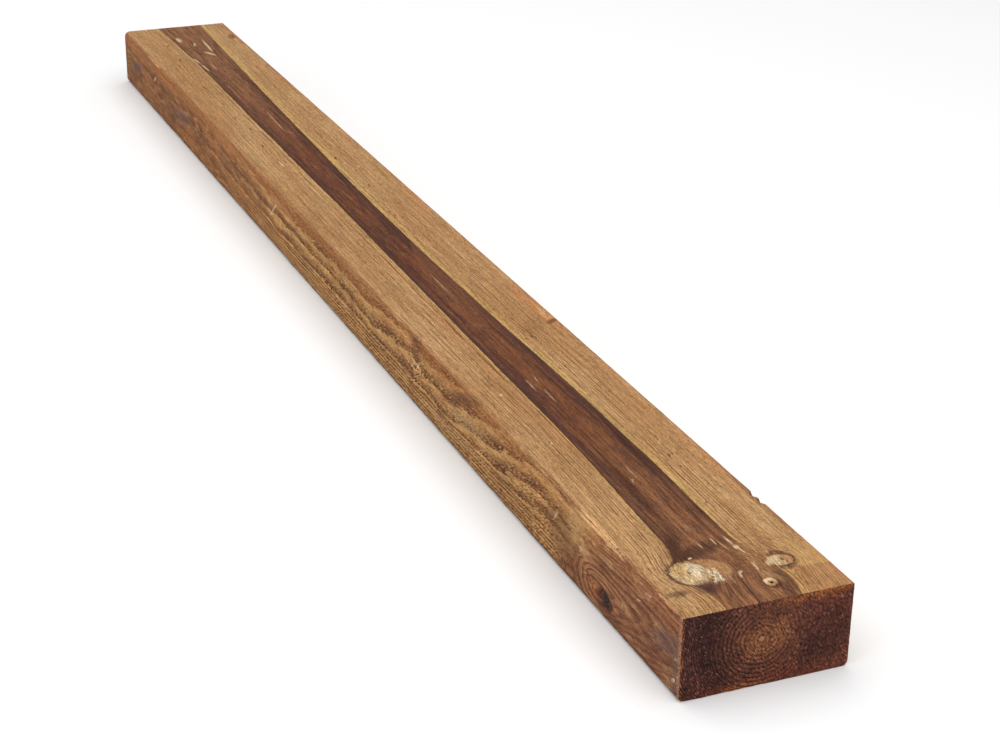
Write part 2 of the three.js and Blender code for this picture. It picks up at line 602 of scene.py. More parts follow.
OVAL_FACE = (1128, 52, 11.5, 13.6, -6)
OVAL_ARC_OUTSIDE = (1128, 53, 14.5, 15.6)
OVAL_ARC_INSIDE = (1128, 52.5, 12.8, 14.0)
OVAL_EYE = (1128.5, 54.5, 2.2, 1.8)
ROUND_WEDGE = (1155, 27, 12, 5, 28)
ROUND_SHADOW = (1168, 20, 11, 9.5)
ROUND_PALE_SIDE = (1161.5, 17.5, 6, 7)
ROUND_FACE = (1165.5, 19.5, 8.4, 7.2, -12)
ROUND_TAN = (1166.5, 20.3, 4.0, 3.4)
ROUND_EYE = (1166.5, 20.4, 2.1, 1.8)
EDGE_KNOT_GLOW = (420, 92, 18, 7, -8)
EDGE_KNOT_DARK = (447, 91, 9, 4.5, -50)
EDGE_KNOT_SHADE = (452, 62, 24, 12, -40)
WHIRL = (432, 60, 34, 30, 50)
SMALL_KNOT_RIM = (930, 12, 16, 8, 10)
SMALL_KNOT_FACE = (931, 12, 10, 4.5, 10)
TIGHT_RIM = (1006, 25.5, 35, 12, -3)
TIGHT_HEART = (999, 25.5, 23, 9.2, -3)
TIGHT_RUST = (1004, 23, 6, 5)
TIGHT_SPLIT = (1022, 26, 17, 9, -8)

# Marks on the sawn ends: y, z, half width, half height, tilt in degrees.
END_LOBES = ((-12, 46, 12, 12, 30), (14, 57, 10, 14, -30))
END_SOAKED = ((82, 52, 15, 20, 0), (58, 26, 14, 16, 0), (-66, 62, 14, 38, 12))

# The front face is cut along the rings: how many rings lie above each height, and how many more at each x.
FRONT_FIGURE = (
    (0, 9.6), (5, 8.8), (10, 7.8), (15, 6.8), (20, 5.8), (25, 4.9), (30, 4.0), (36, 3.05),
    (57, 2.0), (82, 1.0), (100, 0.5),
)
FRONT_SHIFT = (
    (-1200, 0.9), (-900, 0.2), (-640, 0.75), (-400, 0.35), (-200, 0.0), (0, 0.05), (240, -0.12), (400, 0.2),
    (480, 0.1), (620, 0.67), (700, 1.2), (750, 1.72), (800, 2.07), (900, 2.4), (1200, 2.4),
)
# Near the ring end the figure is a leaf that points to that end: how many rings lie inside each distance.
LEAF_FIGURE = (
    (0, 0.5), (7, 1.0), (13, 2.0), (19, 3.0), (26, 4.0),
    (33, 5.0), (40, 6.0), (46, 7.0), (56, 9.2), (90, 17.0),
)


class Stain:
    """The colour and the fine height of the surface, built up face by face."""

    def __init__(self, tree, wood):
        self.t = tree
        self.wood = wood
        bent = (wood.x, wood.top_across, wood.front_across)
        self.fibre = tree.noise(*bent, (80, 1.3, 1.3), detail=3.0)
        self.pores = tree.noise(*bent, (13, 0.9, 0.9), detail=2.0)
        self.patches = tree.noise(wood.x, wood.y, wood.z, (300, 42, 42), detail=2.0)
        self.fuzz = tree.noise(wood.x, wood.y, wood.z, (4.0, 4.0, 4.0), detail=3.0, rough=0.65)
        self.x, self.y, self.z = (place + self.fuzz * 0.4 for place in (wood.x, wood.y, wood.z))
        self.grit = tree.noise(wood.x, wood.y, wood.z, (3.6, 1.3, 1.3), detail=2.0)
        self.coarse = tree.noise(*bent, (38, 3.6, 3.6), detail=3.0, rough=0.6)
        self.late = late_wood(tree, wood.rings)
        number = wood.rings.math("FLOOR")
        year = tree.add("ShaderNodeTexWhiteNoise", {"noise_dimensions": "1D"}, {"W": number})
        broken = tree.noise(wood.x, wood.y, wood.z, (70, 5, 5), detail=2.0)
        self.late_strength = self.late * (year * 0.65 + 0.35) * tree.rise(broken, -1.0, 0.7, 0.35, 1.0)
        self.read_streaks()

    def read_streaks(self):
        """Streaks that run along each face, from the widest to the shortest."""
        t, wood = self.t, self.wood
        x = wood.x
        apart = wood.level * wood.above * 300.0 + (1 - wood.level) * wood.behind * 500.0
        self.face = wood.front_across + (wood.top_across - wood.front_across) * wood.level + apart
        along = x * 0.9 + self.face * 0.45
        aside = self.face * 0.9 - x * 0.45
        self.bands = t.streaks(x, self.face, (230, 5), seed=11.0, detail=3.0)
        self.blot = t.streaks(x, self.face, (120, 13), seed=41.0, detail=3.0)
        self.threads = t.streaks(x, self.face, (85, 1.7), seed=31.0, detail=3.0, rough=0.65)
        self.cloud = t.streaks(x, self.face, (34, 8.5), seed=24.0, detail=3.0, rough=0.6)
        self.tears = t.streaks(along, aside, (10.0, 2.4), seed=101.0, detail=2.0, rough=0.6)
        self.mottle = t.streaks(x, self.face - x * 0.8, (8, 3.0), seed=61.0, detail=3.0, rough=0.65)
        self.speckle = t.streaks(x, self.face, (4.8, 2.6), seed=111.0, detail=3.0, rough=0.65)
        self.lumps = t.noise(x, wood.y, wood.z, (60, 7, 7), detail=3.0, rough=0.6)
        self.soak = t.noise(x, wood.y, wood.z, (60, 22, 22), detail=3.0)
        self.strokes = self.saw_strokes()

    def grain(self, amount):
        """The light and dark of fibres, pores and grit, round 1."""
        fine = self.fibre * 0.26 + self.pores * 0.24 + self.grit * 0.22 + self.coarse * 0.04
        return (fine * amount + 1.0).math("MAXIMUM", 0.3)

    def sapwood(self):
        """Tan sapwood: ring lines, fibres, and a bright yellow stripe beside the heart."""
        t, wood = self.t, self.wood
        colour = t.mix(t.rise(self.patches, -0.9, 0.9), SAP, SAP_LIGHT)
        colour = t.mix(t.rise(self.bands, -0.1, 1.2) * 0.4, colour, SAP_BROWN)
        colour = t.mix(t.rise(self.bands, -0.2, -1.2) * 0.4, colour, SAP_GOLD)
        shown = t.rise(self.x, -300, 700, 0.75, 1.0)
        crisp = t.rise(self.late_strength + self.fibre * 0.3, 0.25, 0.8)
        colour = t.mix(crisp * shown, colour, SAP_LINE)
        wide = t.rise(self.x, 100, -300, 7.0, 10.0) * (wood.behind * 0.85 + 0.3)
        stripe = t.rise(wood.outside_heart / wide, 1.0, 0.15) * t.rise(self.x, 1050, 960, 0.25, 0.75)
        colour = t.mix(stripe, colour, SAP_YELLOW)
        close = t.rise(wood.outside_heart, 16, 3)
        return t.mix(t.rise(self.threads, 0.0, 0.9) * close * 0.65, colour, SAP_LINE)

    def heartwood(self):
        """The dark band: purple at its edges, red-brown and streaked in its middle, paler near both ends."""
        t, wood = self.t, self.wood
        off_centre = (wood.top_across - wood.pith).math("ABSOLUTE") / wood.heart_half
        middle = t.rise(off_centre + self.bands * 0.35, 0.85, 0.35)
        paleness = t.along(self.x, HEART_PALENESS, 0.0, 1.0)
        colour = t.mix(middle, HEART_EDGE, HEART_MIDDLE)
        ends = t.rise(self.x, -820, -1060, 0.0, 0.6) + t.rise(self.x, 1100, 1160, 0.0, 0.4)
        faded = ends + middle * 0.55 + 0.45
        colour = t.mix(paleness * faded.math("MINIMUM", 1.0), colour, HEART_PALE)
        colour = t.mix(t.rise(self.blot, -0.1, 1.0) * 0.45, colour, HEART_DIM)
        colour = t.mix(t.rise(self.cloud, 0.0, 1.1) * 0.6, colour, HEART_PURPLE)
        colour = t.mix(t.rise(self.cloud, -0.1, -1.1) * middle * 0.45, colour, HEART_PALE)
        colour = t.mix(self.late_strength * 0.4, colour, HEART_LINE)
        colour = t.mix(t.rise(self.threads, 0.0, 0.9) * 0.8, colour, HEART_LINE)
        pale = t.rise(self.threads + self.fibre * 0.5, -0.3, -1.2)
        colour = t.mix(pale * (middle * 0.6 + 0.12), colour, HEART_PALE)
        return self.heart_lens(colour, pale)

    def heart_lens(self, colour, pale):
        """A paler tongue of wood that begins beside the middle of the band and runs to the ring end."""
        t = self.t
        lower = (17 - (self.x - 97) * 0.214).math("MAXIMUM", -7.0)
        tongue = t.rise(self.y - lower, -1.2, 1.2) * t.rise(self.x, 90, 110) * t.rise(self.x, 520, 260)
        colour = t.mix(tongue * 0.4, colour, HEART_TONGUE)
        return t.mix(tongue * pale * 0.6, colour, SAP_BROWN)

    def top_face(self):
        """Sapwood and heart, then the knots and marks of the top."""
        t, wood = self.t, self.wood
        heart = t.rise(wood.outside_heart + self.pores * 0.12, 0.35, -0.35)
        colour = t.mix(heart, self.sapwood(), self.heartwood())
        seam = t.rise(wood.outside_heart.math("ABSOLUTE"), 1.0, 0.1) * heart
        colour = t.mix(seam * 0.6, colour, HEART_LINE)
        colour = self.top_edges(colour)
        ragged = t.vector(wood.x + self.fuzz * 3.0, wood.y + self.fuzz * 1.6)
        # Dark smudges, with a painted shadow on the far side of the big knot.
        colour = t.mix(t.spots(ragged, TOP_SMUDGES_AND_SHADOW, soft=0.9) * 0.62, colour, HEART_LINE)
        colour = self.knotty_patch(colour)
        colour = self.big_knot(colour)
        colour = self.oval_knot(colour)
        colour = self.round_knot(colour)
        colour = self.edge_knot(colour)
        broken = t.vector(wood.x + self.fuzz * 1.5, wood.y + self.fuzz * 0.5 + self.pores * 0.3)
        colour = t.mix(t.spots(broken, TOP_RESIN_DOTS) * 0.8, colour, RESIN)
        colour = t.mix(t.spots(broken, TOP_FIBRES, soft=0.9) * 0.42, colour, CREAM_PINK)
        colour = t.mix(t.spots(broken, TOP_PALE_FLECKS, soft=0.7) * 0.85, colour, CREAM)
        colour = t.mix(self.check_line() * 0.9, colour, HEART_LINE)
        return t.shade(colour, self.grain(1.35))

    def top_edges(self, colour):
        """Orange stain along the back edge, red-brown along the front edge, and where it is torn pale wood
        with a painted highlight.
        """
        t = self.t
        orange = t.rise(self.y, 72, 98) * t.rise(self.blot, -0.6, 0.9)
        place = t.vector(self.x, self.y)
        orange = t.most(orange, t.spot(place, *BACK_EDGE_STAIN, soft=0.6) * 0.9)
        colour = t.mix(orange * 0.55, colour, SAP_ORANGE)
        stretch = t.rise(self.x, 860, 930) * t.rise(self.x, 1090, 1040)
        reddened = t.rise(self.y + self.fuzz * 1.5, 91, 98) * stretch
        colour = t.mix(reddened * 0.7, colour, SAP_RED)
        colour = t.mix(t.rise(self.y, 96.5, 99.5) * 0.7, colour, SAP_RED)
        colour = t.mix(t.rise(self.y + self.fuzz, -94.0, -98.0) * 0.6, colour, SAP_RED)
        # Fresh pale wood and a painted highlight where the front top edge is torn.
        return t.mix(self.slivers(), colour, FRESH_WOOD_AND_HIGHLIGHT)

    def slivers(self):
        """Where the front top edge is torn: fresh pale wood, with a painted highlight along it."""
        t, wood = self.t, self.wood
        total = None
        for start, stop, opened in SLIVERS:
            reach = 1.0 + opened * 1.9
            near = wood.depth_front + wood.depth_top
            torn = t.rise(near + self.fuzz * 1.3, reach + 1.0, reach - 1.0)
            here = window(t, wood.x, start, stop, 8.0) * torn
            total = here if total is None else t.most(total, here)
        return total * t.rise(self.fibre + self.fuzz, -1.2, 0.5) * 0.85

    def check_line(self):
        """A fine drying check that runs in from the ring end."""
        t, wood = self.t, self.wood
        line = wood.y + (wood.x - 1146) * 0.085 + 7.2 + self.fibre * 0.25
        return t.rise(line.math("ABSOLUTE"), 0.9, 0.1) * t.rise(wood.x, 1112, 1160)

    def knotty_patch(self, colour):
        """Mottled wood among the knots near the ring end, and the pale sapwood behind them."""
        t = self.t
        x, y = self.x, self.y
        mottle = self.mottle
        place = t.vector(x, y)
        spread = t.spot(place, *KNOTTY_SPREAD, soft=0.8)
        colour = t.mix(spread * t.rise(mottle, -0.2, 0.8) * 0.75, colour, KNOT_BROWN)
        between = t.spot(place, *BETWEEN_KNOTS, soft=0.7)
        colour = t.mix(between * 0.8, colour, t.mix(t.rise(mottle, -0.7, 0.7), KNOT_TAN, KNOT_BROWN))
        dusky = t.spot(place, *DUSKY_STREAK, soft=0.8) * t.rise(mottle + self.fuzz * 0.6, -0.2, 0.8)
        colour = t.mix(dusky * 0.5, colour, HEART_LINE)
        pale = t.rise(x + self.fuzz * 4.0, 1086, 1112) * t.rise(x - (y - 80) * 0.1 + self.fuzz, 1151, 1148)
        pale = pale * t.rise(y, 56, 66)
        flame = t.rise(self.coarse + mottle * 0.5, -1.2, 0.9, 0.7, 0.2)
        colour = t.mix(pale * flame, colour, SAP_YELLOW)
        red = t.rise(x - (y - 80) * 0.1 + self.fuzz, 1148, 1151) * t.rise(y, 46, 54)
        lines = t.rise(self.threads, -0.1, 0.9)
        colour = t.mix(red * (lines * 0.55 + 0.15), colour, SAP_RED)
        leaf = t.spot(place, *DARK_LEAF, soft=0.3)
        return t.mix(leaf * t.rise(mottle, -1.0, 0.8, 0.3, 0.8), colour, HEART_EDGE)

    def big_knot(self, colour):
        """A large torn knot: a cream core of loose fibre, a tan shoulder and a dark outline."""
        t, wood = self.t, self.wood
        x, y = wood.x, wood.y
        place = t.vector(x + self.fuzz * 1.8, y + self.fuzz * 1.5)
        bowed = y + (x - 1124) * (x - 1124) * 0.008
        fibres = t.streaks(x, bowed, (13, 1.5), seed=71.0, detail=3.0, rough=0.65)
        slanted = self.mottle
        shoulder = t.spot(place, *BIG_SHOULDER, soft=0.09) * t.rise(x - y * 0.5, 1168, 1136)
        tan = t.mix(t.rise(slanted, -0.4, 1.2) * 0.8, KNOT_TAN, KNOT_BROWN)
        colour = t.mix(shoulder, colour, tan)
        ragged = t.vector(x + self.fuzz * 3.0, y + self.fuzz * 2.6)
        outline = t.spot(ragged, *BIG_OUTLINE, soft=0.1)
        low = t.rise(y - x * 0.12, -178, -186)
        colour = t.mix(outline * low * 0.8, colour, KNOT_RIM)
        core = t.spot(place, *BIG_CORE, soft=0.09)
        inner = t.mix(t.spread(fibres, -0.7, 0.5), CREAM_SHADE, CREAM)
        inner = t.mix(t.spot(place, *BIG_GOLD, soft=0.8) * 0.75, inner, CREAM_GOLD)
        inner = t.mix(t.spot(place, *BIG_WHITE, soft=0.9) * t.rise(fibres, -0.8, 0.3), inner, WHITE_WOOD)
        inner = t.mix(t.rise(slanted + self.fuzz * 0.4, 0.2, 1.0) * 0.6, inner, KNOT_BROWN)
        colour = t.mix(core, colour, inner)
        colour = t.mix(t.spots(place, BIG_TAN_LINES, soft=0.6) * 0.5, colour, KNOT_TAN)
        torn = t.spots(ragged, BIG_LOOSE_FIBRES, soft=0.5) * t.rise(fibres + slanted * 0.5, -0.9, 0.2)
        colour = t.mix(torn * 0.95, colour, WHITE_WOOD)
        stain = t.spot(place, *BIG_STAIN, soft=0.7)
        colour = t.mix(stain * 0.75, colour, KNOT_RIM)
        return t.mix(t.spot(place, *BIG_EYE, soft=0.5) * 0.75, colour, KNOT_BROWN)

    def oval_knot(self, colour):
        """A sound oval knot in a purple rim that is thicker along the grain."""
        t, wood = self.t, self.wood
        x, y = wood.x, wood.y
        place = t.vector(x + self.fuzz * 1.2, y + self.fuzz * 1.1)
        rim = t.spot(place, *OVAL_RIM, soft=0.1)
        face = t.spot(place, *OVAL_FACE, soft=0.1)
        ragged = t.rise(self.fuzz + t.rise(y, 42, 54) * 1.2, -0.2, 0.7)
        colour = t.mix((rim - face).math("MAXIMUM", 0.0) * ragged * 0.65, colour, KNOT_RIM)
        arc = t.spot(place, *OVAL_ARC_OUTSIDE, soft=0.06) - t.spot(place, *OVAL_ARC_INSIDE, soft=0.06)
        colour = t.mix(arc.math("MAXIMUM", 0.0) * t.rise(y + self.fuzz * 3.0, 50, 60) * 0.7, colour, KNOT_RIM)
        inner = t.mix(t.rise(y + self.fuzz * 3.0, 60, 42), KNOT_TAN, CREAM)
        inner = t.mix(t.rise(self.speckle, 0.0, 1.0) * 0.5, inner, KNOT_BROWN)
        colour = t.mix(face, colour, inner)
        return t.mix(t.spot(place, *OVAL_EYE, soft=0.5) * 0.75, colour, RESIN)

    def round_knot(self, colour):
        """A small round knot with a dark heart."""
        t, wood = self.t, self.wood
        place = t.vector(wood.x + self.fuzz * 0.9, wood.y + self.fuzz * 0.9)
        wedge = t.spot(place, *ROUND_WEDGE, soft=0.7)
        colour = t.mix(wedge * 0.45, colour, CREAM_SHADE)
        colour = t.mix(t.spot(place, *ROUND_SHADOW, soft=0.25) * 0.55, colour, HEART_LINE)
        ring = t.mix(t.spot(place, *ROUND_PALE_SIDE, soft=0.6), KNOT_TAN, CREAM)
        colour = t.mix(t.spot(place, *ROUND_FACE, soft=0.14), colour, ring)
        colour = t.mix(t.spot(place, *ROUND_TAN, soft=0.3) * 0.7, colour, KNOT_TAN)
        return t.mix(t.spot(place, *ROUND_EYE, soft=0.3), colour, HEART_LINE)

    def edge_knot(self, colour):
        """A knot cut through by the back top edge."""
        t = self.t
        place = t.vector(self.wood.x + self.fuzz * 2.0, self.wood.y + self.fuzz * 1.2)
        colour = t.mix(t.spot(place, *EDGE_KNOT_GLOW, soft=0.5) * 0.75, colour, KNOT_GLOW)
        colour = t.mix(t.spot(place, *EDGE_KNOT_DARK, soft=0.5) * 0.8, colour, FRONT_DARK)
        return t.mix(t.spot(place, *EDGE_KNOT_SHADE, soft=0.8) * 0.22, colour, SAP_LINE)

    def front_face(self):
        """The side sawn along the rings: wide brown and tan figure, torn grain and knots."""
        t, wood = self.t, self.wood
        x, z = self.x, self.z
        share = self.front_rings().math("FRACT")
        knotty = self.knotty_stretch(x, z)
        plain = t.rise(x, 960, 820, 0.5, 1.0)
        dark = t.rise(share, knotty * 0.2 + 0.1, 0.8) * t.rise(share, 1.0, 0.975)
        line = t.rise(share, 0.84, 0.95) * t.rise(share, 1.0, 0.985)
        far = t.rise(x, -60, -620)
        light = t.mix(knotty, t.mix(far, FRONT_LIGHT, FRONT_FAR_LIGHT), FRONT_RED_LIGHT)
        deep = t.mix(knotty, t.mix(far, FRONT_DARK, FRONT_FAR_DARK), FRONT_RED_DARK)
        shown = t.rise(self.blot, -1.3, 0.6, 0.65, 1.0) * t.most(plain, knotty * 0.82)
        shown = shown * t.rise(far, 0, 1, 1.0, 0.65)
        colour = t.mix(dark * shown, light, deep)
        colour = t.mix(line * shown * (knotty * 0.4 + 0.45), colour, FRONT_LINE)
        colour = t.mix(t.rise(self.soak, 0.0, 1.0) * t.rise(far, 0, 1, 0.35, 0.75), colour, FRONT_RED)
        colour = t.mix(t.rise(self.soak, -0.1, -1.0) * t.rise(far, 0, 1, 0.3, 0.7), colour, FRONT_ORANGE)
        colour = t.mix(t.rise(self.blot, 0.0, 1.1) * far * 0.45, colour, FRONT_FAR_DARK)
        colour = t.mix(t.rise(self.blot, -0.1, -1.1) * far * 0.35, colour, FRONT_ORANGE)
        low = t.rise(x - z * 1.3, 900, 1080) * knotty
        colour = t.mix(low * 0.55, colour, FRONT_PURPLE)
        colour = t.mix(t.rise(self.cloud, 0.0, 1.1) * 0.5, colour, deep)
        colour = t.mix(t.rise(self.cloud, 0.0, -1.1) * 0.4, colour, FRONT_PALE)
        colour = self.torn_dashes(colour, dark * shown)
        upper = t.rise(z, 68, 92) * t.rise(self.bands, -1.0, 0.5) * t.rise(x, 960, 700, 0.4, 1.0)
        colour = t.mix(upper * 0.65, colour, FRONT_ORANGE)
        ragged = t.vector(x + self.fuzz * 3.0, z + self.fuzz * 2.0)
        pale = t.spots(ragged, FRONT_PALE_PATCHES, soft=0.7) * t.rise(self.tears, 0.9, -0.5, 0.2, 0.7)
        colour = t.mix(pale, colour, SAP_LIGHT)
        colour = t.mix(t.spots(ragged, FRONT_DARK_SMUDGES, soft=0.9) * 0.55, colour, FRONT_RED_DARK)
        colour = t.mix(t.spots(ragged, FRONT_GREY_STAINS, soft=0.9) * 0.6, colour, GREY_STAIN)
        place = t.vector(x + self.fuzz, z + self.fuzz)
        colour = self.tight_knot(colour, place)
        colour = t.mix(t.spots(ragged, FRONT_PALE_FLECKS, soft=0.8) * 0.75, colour, CREAM_PINK)
        # Fresh pale wood and a painted highlight where the front top edge is torn.
        colour = t.mix(self.slivers(), colour, FRESH_WOOD_AND_HIGHLIGHT)
        worn = t.rise(wood.depth_ring_end + self.fuzz * 2.0, 8.0, 4.0)
        colour = t.mix(worn * t.rise(self.fuzz + self.grit, -0.9, 0.9) * 0.65, colour, WORN_EDGE)
        # Painted shade: the foot of the face is darkened where the timber meets the floor.
        colour = t.mix(t.rise(z, 8, 2) * 0.85, colour, FRONT_LINE)
        return t.shade(colour, self.grain(1.2))

    def front_rings(self):
        """The ring count on the front face: flat in the middle, close below, a leaf near the ring end."""
        t, wood = self.t, self.wood
        x, z = wood.x, wood.front_across
        count = t.along(z, FRONT_FIGURE, 0.0, 10.0) + t.along(x, FRONT_SHIFT, -1.0, 3.0)
        wide = t.streaks(x, z, (150, 30), seed=91.0, detail=2.0) * 0.24
        jagged = t.streaks(x, z, (17, 4.5), seed=92.0, detail=3.0, rough=0.6) * 0.15
        plain = count + wide + jagged
        towards = (x - 1000).math("MAXIMUM", 0.0) * 0.18
        away = (1000 - x).math("MAXIMUM", 0.0) * 0.45
        along = towards + away
        across = z - 30 - (x - 1006).math("MAXIMUM", 0.0) * 0.16
        distance = (along * along + across * across).math("SQRT")
        leaf = t.along(distance, LEAF_FIGURE, 0.0, 18.0) + wide * 2.4 + jagged
        return plain + (leaf - plain) * self.knotty_stretch(x, z)

    def knotty_stretch(self, x, z):
        """1 on the darker stretch of the front face round its knot, which begins on a slant."""
        return self.t.rise(x - (z - 50) * 1.1 + self.cloud * 9.0, 925, 975)

    def torn_dashes(self, colour, dark):
        """Short dark tears and pale lifted fibres where the saw pulled the grain, most in the dark wood."""
        t, wood = self.t, self.wood
        whirl = t.spot(t.vector(self.x, self.z), *WHIRL, soft=0.6)
        roughest = t.rise(self.x, 765, 800) * t.rise(self.x, 900, 870) * t.rise(self.z, 72, 56)
        amount = torn_grain(t, wood) * t.most(dark * 0.85 + 0.12, roughest * 0.8)
        amount = t.most(amount, whirl) + 0.08
        colour = t.mix(t.rise(self.tears, 0.1, 0.8) * amount * 0.9, colour, FRONT_LINE)
        return t.mix(t.rise(self.tears, -0.1, -0.9) * amount * 0.7, colour, FRONT_PALE)

    def tight_knot(self, colour, place):
        """A long dark knot with a tan heart and a black split."""
        t = self.t
        speckle = self.speckle
        colour = t.mix(t.spot(place, *SMALL_KNOT_RIM, soft=0.2) * 0.5, colour, FRONT_RED_DARK)
        colour = t.mix(t.spot(place, *SMALL_KNOT_FACE, soft=0.4) * 0.5, colour, FRONT_RED_LIGHT)
        colour = t.mix(t.spot(place, *TIGHT_RIM, soft=0.12) * 0.9, colour, KNOT_RIM)
        heart = t.mix(t.rise(speckle, -0.2, 0.9), TIGHT_LIGHT, TIGHT_DARK)
        colour = t.mix(t.spot(place, *TIGHT_HEART, soft=0.16), colour, heart)
        colour = t.mix(t.spot(place, *TIGHT_RUST, soft=0.6) * 0.7, colour, KNOT_RUST)
        split = t.mix(t.rise(speckle + self.tears * 0.4, -0.1, 0.8) * 0.75, KNOT_BLACK, KNOT_BROWN)
        return t.mix(t.spot(place, *TIGHT_SPLIT, soft=0.4) * 0.92, colour, split)

    def plain_faces(self):
        """The back and the underside: the same rings, stained a little duller, with a few small knots."""
        t, wood = self.t, self.wood
        heart = t.rise(wood.outside_heart, 0.5, -0.5)
        colour = t.mix(t.rise(self.patches, -0.8, 0.9), SAP_LIGHT, FRONT_LIGHT)
        colour = t.mix(t.rise(self.blot, -0.1, 1.2) * 0.6, colour, FRONT_DARK)
        colour = t.mix(self.late_strength * 0.75, colour, FRONT_DARK)
        colour = t.mix(heart, colour, HEART_MIDDLE)
        place = t.vector(wood.x + self.fuzz * 1.4, wood.z + self.fuzz * 1.0)
        core_colour = t.mix(t.rise(self.speckle, -0.6, 0.8), KNOT_TAN, KNOT_BROWN)
        for x, z, push, *_ in BACK_KNOTS:
            knot = t.spot(place, x, z, push * 1.5, push * 0.9, soft=0.15) * wood.behind
            core = t.spot(place, x, z, push * 1.2, push * 0.68, soft=0.15) * wood.behind
            colour = t.mix(knot * 0.85, colour, KNOT_RIM)
            colour = t.mix(core * 0.9, colour, core_colour)
        # Painted shade: darker towards the foot, where the timber lies on the floor, which darkens the whole
        # underside too.
        colour = t.mix(t.rise(wood.z, 7, 0.5) * 0.4, colour, FRONT_LINE)
        return t.shade(colour, self.grain(1.1))

    def end_grain(self):
        """Sawn ends: dark where the stain soaked in, warmer round the pith, torn on a slant by the saw."""
        t, wood = self.t, self.wood
        y, z = wood.y, wood.z
        blot, lumps, torn = self.soak, self.lumps, self.strokes
        radius = wood.radius + lumps * 0.9
        colour = t.mix(t.rise(radius + blot * 7.0, 46, 62), END_MIDDLE, END_DARK)
        colour = t.mix(t.rise(radius + blot * 10.0, 36, 4) * 0.55, colour, END_HEART)
        lobes = t.spots(t.vector(y + lumps * 4.0, z + blot * 4.0), END_LOBES, soft=0.8)
        colour = t.mix(lobes * 0.6, colour, END_HEART)
        corner = t.rise(y + z * 0.7 + blot * 18, 55, 130) * t.rise(radius, 50, 62)
        colour = t.mix(corner * 0.5, colour, END_RED)
        ragged = t.vector(y + lumps * 8.0, z + blot * 8.0)
        soaked = t.spots(ragged, END_SOAKED, soft=0.9)
        colour = t.mix(soaked * 0.42, colour, END_LINE)
        low = t.rise(z + blot * 8.0, 30, 4) * t.rise(y, -40, -5, 0.6, 1.0)
        colour = t.mix(low * 0.7, colour, END_RED)
        rim = t.rise(wood.depth_top + blot * 5.0, 13, 3) * t.rise(y, -10, 45)
        rim = t.most(rim, t.rise(wood.depth_front + lumps * 2.0, 5, 0.5))
        rim = t.most(rim, t.rise(z + lumps * 2.5, 10, 4) * t.rise((y + 27).math("ABSOLUTE"), 36, 15))
        colour = t.mix(rim * 0.7, colour, END_ORANGE)
        colour = t.mix(t.rise(blot + lumps * 0.6, 0.3, 1.3) * 0.4, colour, END_LINE)
        count = ring_count(t, wood.grown + lumps * 0.5 + blot * 0.5)
        late = late_wood(t, count)
        facing = t.rise(y + z * 0.6, 90, -20, 0.2, 1.0)
        shown = t.rise(lumps + blot * 0.5, -1.1, 0.6, 0.45, 0.9)
        colour = t.mix(late * facing * shown, colour, END_LINE)
        colour = t.shade(colour, (torn * 1.6 + self.fuzz * 0.55 + 1.2).math("MAXIMUM", 0.25))
        colour = t.mix(t.rise(torn + self.fuzz * 0.6, 0.65, 1.4) * 0.7, colour, END_FLECK)
        pith = t.rise(wood.radius, 3.4, 2.0)
        return t.mix(pith * 0.7, colour, PITH_PALE)

    def saw_strokes(self):
        """Short bright and dark strokes that slant down the sawn end."""
        t, wood = self.t, self.wood
        across = wood.y * 0.8 + wood.z * 0.6
        down = wood.y * 0.6 - wood.z * 0.8
        bent = wood.depth_ring_end * 0.15 + 7.0
        return t.noise(across, down, bent, (0.9, 5.0, 4.0), detail=3.0, rough=0.6)

    def chips(self):
        """Where a splinter is missing from the back top edge."""
        t, wood = self.t, self.wood
        first, second = (window(t, wood.x, start - 1.0, stop + 1.0, 1.5) for start, stop in CHIPS)
        ragged = self.fuzz * 1.8
        corner = t.rise(wood.y + ragged, 94.0, 97.0) * t.rise(wood.z + ragged, 94.5, 97.5)
        return t.most(first, second) * corner

    def colour(self):
        """Every face's colour, joined where the faces meet."""
        t, wood = self.t, self.wood
        plain = self.plain_faces()
        upper = t.mix(wood.above, plain, self.top_face())
        upright = t.mix(wood.behind, self.front_face(), plain)
        long_faces = t.mix(wood.level, upright, upper)
        long_faces = t.mix(self.chips() * 0.75, long_faces, HEART_LINE)
        return t.mix(wood.end, long_faces, self.end_grain())

    def height(self):
        """The fine relief in millimetres: ring ridges, fibres, pores, tears and the check."""
        t, wood = self.t, self.wood
        height = self.late * 0.16 + self.fibre * 0.09 + self.pores * 0.07 + self.grit * 0.05
        height = height - torn_grain(t, wood) * t.rise(self.tears, -0.2, 0.9) * 0.7
        height = height + wood.end * self.strokes * 0.3
        return height - self.check_line() * wood.above * wood.level * 0.8


def timber_material(stain, roughness):
    """Brown-treated softwood, stained in the solid."""
    material = bpy.data.materials.new("brown_treated_softwood")
    material.use_nodes = True
    tree = material.node_tree
    tree.nodes.clear()
    t = Tree(tree)
    wood = Timber(t, t.add("ShaderNodeTexCoord", output=3))
    surface = Stain(t, wood)
    colour = surface.colour()
    tint = t.add("ShaderNodeMix", {"data_type": "RGBA", "blend_type": "MULTIPLY"},
                 {0: 1.0, 6: colour, 7: (*stain, 1.0)}, output=2)
    dull = surface.fuzz * 0.04 + surface.late * 0.05 + roughness
    bump = t.add("ShaderNodeBump", None, {"Strength": 1.0, "Distance": MM, "Height": surface.height()})
    shader = t.node("ShaderNodeBsdfPrincipled", None, {
        "Base Color": tint, "Roughness": dull, "Normal": bump, "Specular IOR Level": 0.2})
    output = t.node("ShaderNodeOutputMaterial")
    tree.links.new(shader.outputs[0], output.inputs[0])
    return material


# ---------------------------------------------------------------- modelling


